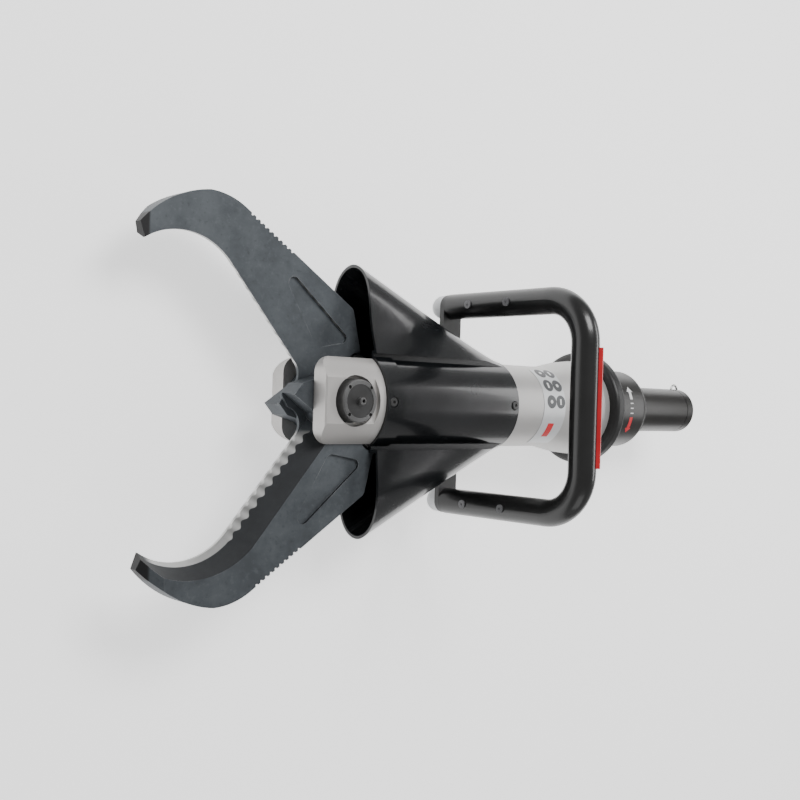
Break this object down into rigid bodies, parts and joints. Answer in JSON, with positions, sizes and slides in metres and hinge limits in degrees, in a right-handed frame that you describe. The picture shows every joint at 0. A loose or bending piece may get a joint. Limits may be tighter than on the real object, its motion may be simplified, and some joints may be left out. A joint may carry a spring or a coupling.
{
  "type": "rescue cutter",
  "caption": "Hand-held hydraulic rescue cutter: two claw blades on one pivot bolt, driven by a piston through links, with a carry handle, a control ring and a rear coupling.",
  "frame": {"origin": "on the tool's long axis, at the rear end of the round stem, where the dust cap seats", "axes": "+X forward to the blade tips, +Y to the left blade, +Z along the pivot bolt towards the carry handle"},
  "size_m": [0.7291, 0.342, 0.2443],
  "materials": {
    "head_alloy": "machined and bead-blasted light alloy forging",
    "blade_steel": "phosphated dark grey forged tool steel with ground cutting edges",
    "guard_plastic": "glossy black moulded polyurethane",
    "body_alloy": "satin anodised light alloy",
    "label_film": "printed silver film, lettering left out",
    "bumper_rubber": "black moulded rubber",
    "ring_plastic": "satin black glass-filled nylon",
    "stem_finish": "black anodised light alloy",
    "handle_paint": "semi-gloss black powder coat on steel tube",
    "bracket_steel": "black oxide steel plate",
    "end_cap_plastic": "pale grey moulded plastic",
    "strip_red": "red moulded strip",
    "bronze": "sintered bronze",
    "seal_rubber": "nitrile rubber",
    "blackened_steel": "black oxide steel",
    "steel": "turned and ground steel"
  },
  "bodies": {
    "housing": {"yoke_head": "head_alloy", "yoke_lock_screws": "blackened_steel", "thrust_washers": "bronze", "pivot_bolt": "blackened_steel", "pivot_spring_washer": "blackened_steel", "pivot_nut": "blackened_steel", "grease_nipple": "blackened_steel", "blade_guard": "guard_plastic", "guard_screws": "blackened_steel", "cylinder_body": "body_alloy", "rod_gland": "bronze", "rod_seal": "seal_rubber", "rod_wiper": "seal_rubber", "gland_o_ring": "seal_rubber", "body_label": "label_film", "rear_bumper": "bumper_rubber", "valve_housing": "body_alloy", "housing_bolts": "steel", "ring_return_spring": "steel", "ring_retainer": "blackened_steel", "coupling_nipple": "steel", "nipple_o_ring": "seal_rubber", "sleeve_bearing": "ring_plastic", "carry_handle": "handle_paint", "handle_rivets": "steel", "left_handle_bracket": "bracket_steel", "right_handle_bracket": "bracket_steel", "left_handle_plug": "steel", "right_handle_plug": "steel", "left_handle_bolt": "steel", "right_handle_bolt": "steel", "left_handle_end_cap": "end_cap_plastic", "right_handle_end_cap": "end_cap_plastic", "bracket_screws": "steel", "grip_strip": "strip_red"},
    "left_blade": {"left_blade": "blade_steel", "left_blade_bush": "bronze"},
    "right_blade": {"right_blade": "blade_steel", "right_blade_bush": "bronze"},
    "piston_assembly": {"piston_rod": "steel", "piston": "steel", "piston_seal": "seal_rubber", "piston_wear_ring_front": "ring_plastic", "piston_wear_ring_rear": "ring_plastic", "piston_nut": "steel", "crosshead": "steel", "crosshead_pins": "steel"},
    "left_link": {"left_link": "steel", "left_blade_pin": "steel"},
    "right_link": {"right_link": "steel", "right_blade_pin": "steel"},
    "control_ring": {"control_ring": "ring_plastic", "ring_key_pin": "steel", "valve_spool": "steel"},
    "coupling_sleeve": {"coupling_sleeve": "stem_finish"},
    "dust_cap": {"dust_cap": "stem_finish", "cap_eye": "steel"}
  },
  "joints": [
    {"name": "left_blade_hinge", "type": "hinge", "parent": "housing", "child": "left_blade", "pos_m": [0.5245, 0, 0], "axis": [0, 0, -1], "range_deg": [0, 48]},
    {"name": "right_blade_hinge", "type": "hinge", "parent": "housing", "child": "right_blade", "pos_m": [0.5245, 0, 0], "axis": [0, 0, 1], "range_deg": [0, 48]},
    {"name": "piston_slide", "type": "slide", "parent": "housing", "child": "piston_assembly", "axis": [1, 0, 0], "range_m": [0, 0.04]},
    {"name": "left_link_hinge", "type": "hinge", "parent": "piston_assembly", "child": "left_link", "pos_m": [0.42498, 0.017, 0], "axis": [0, 0, 1], "range_deg": [0, 14.2]},
    {"name": "right_link_hinge", "type": "hinge", "parent": "piston_assembly", "child": "right_link", "pos_m": [0.42498, -0.017, 0], "axis": [0, 0, -1], "range_deg": [0, 14.2]},
    {"name": "control_ring_turn", "type": "hinge", "parent": "housing", "child": "control_ring", "pos_m": [0.1345, 0, 0], "axis": [1, 0, 0], "range_deg": [-30, 30], "stiffness_Nm_per_rad": 2},
    {"name": "coupling_sleeve_turn", "type": "hinge", "parent": "housing", "child": "coupling_sleeve", "pos_m": [0.0495, 0, 0], "axis": [1, 0, 0], "range_deg": [0, 60]},
    {"name": "dust_cap_slide", "type": "slide", "parent": "coupling_sleeve", "child": "dust_cap", "axis": [-1, 0, 0], "range_m": [0, 0.03]}
  ],
  "couplings": [
    {"joint": "right_blade_hinge", "follows": "left_blade_hinge", "ratio": 1},
    {"joint": "piston_slide", "follows": "left_blade_hinge", "m_per_rad": 0.047745},
    {"joint": "left_link_hinge", "follows": "left_blade_hinge", "ratio": 0.295},
    {"joint": "right_link_hinge", "follows": "left_blade_hinge", "ratio": 0.295}
  ]
}
